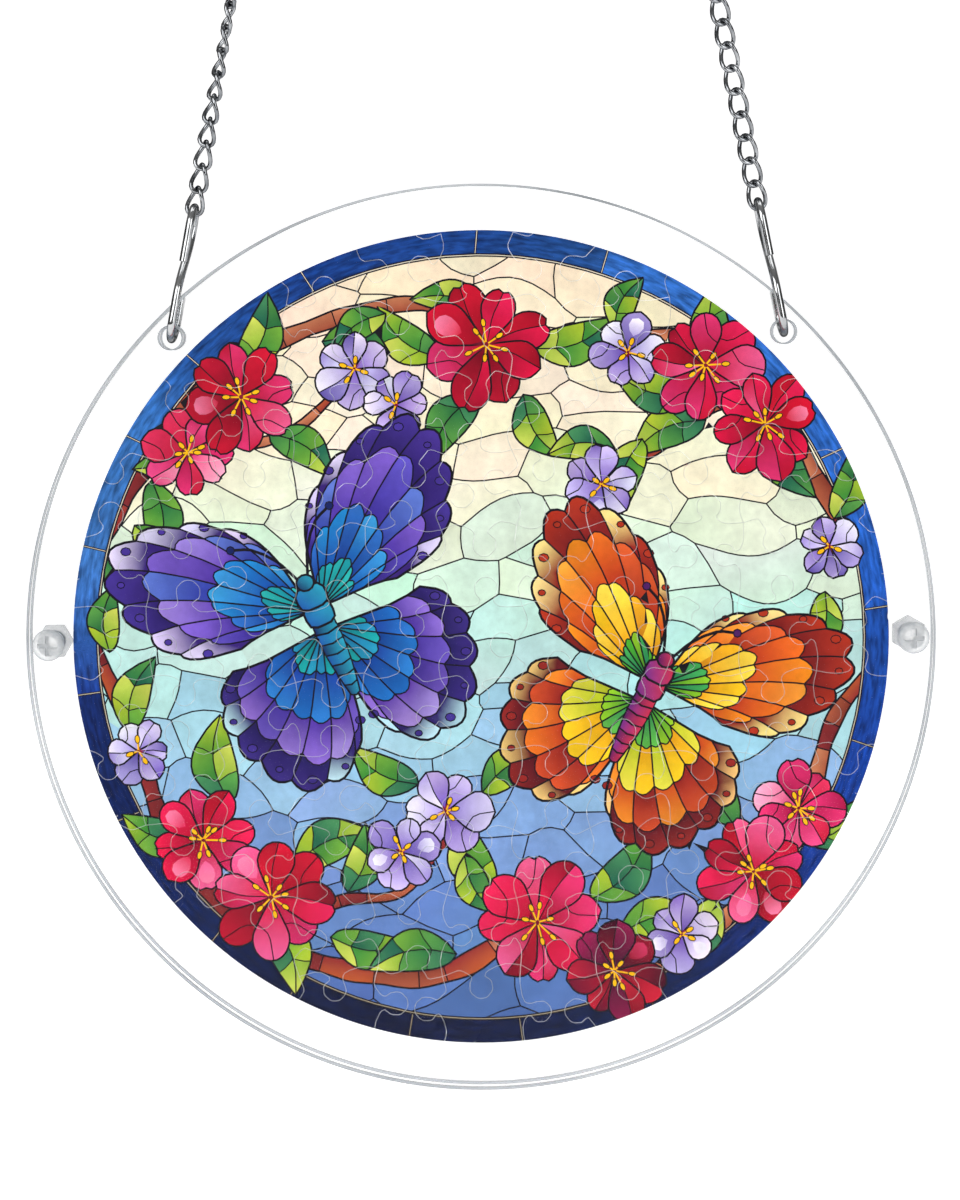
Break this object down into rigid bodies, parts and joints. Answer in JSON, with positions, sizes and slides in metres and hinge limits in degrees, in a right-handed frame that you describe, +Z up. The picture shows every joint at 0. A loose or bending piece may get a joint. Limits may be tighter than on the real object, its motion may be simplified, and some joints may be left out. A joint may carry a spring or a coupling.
{
  "type": "puzzle suncatcher",
  "caption": "Round printed jigsaw held between two clear plates by screws and nuts, hung by S-hooks and curb chains from a ring.",
  "frame": {"origin": "inner top of the hanging ring, where a peg or hook carries the part", "axes": "+Z up, printed front facing -Y, +X to the viewer's right"},
  "size_m": [0.2, 0.0165, 0.5246],
  "materials": {
    "clear_plate": "clear acrylic, polished faces and edges",
    "clear_fixing": "clear moulded plastic",
    "printed_jigsaw": "acrylic sheet printed on both faces in stained-glass colours, satin",
    "steel": "bright polished wire"
  },
  "bodies": {
    "root": {"front_plate": "clear_plate", "back_plate": "clear_plate", "jigsaw": "printed_jigsaw", "screw_left": "clear_fixing", "nut_left": "clear_fixing", "hook_left": "steel", "chain_left": "steel", "screw_right": "clear_fixing", "nut_right": "clear_fixing", "hook_right": "steel", "chain_right": "steel", "hanging_ring": "steel"}
  },
  "joints": []
}
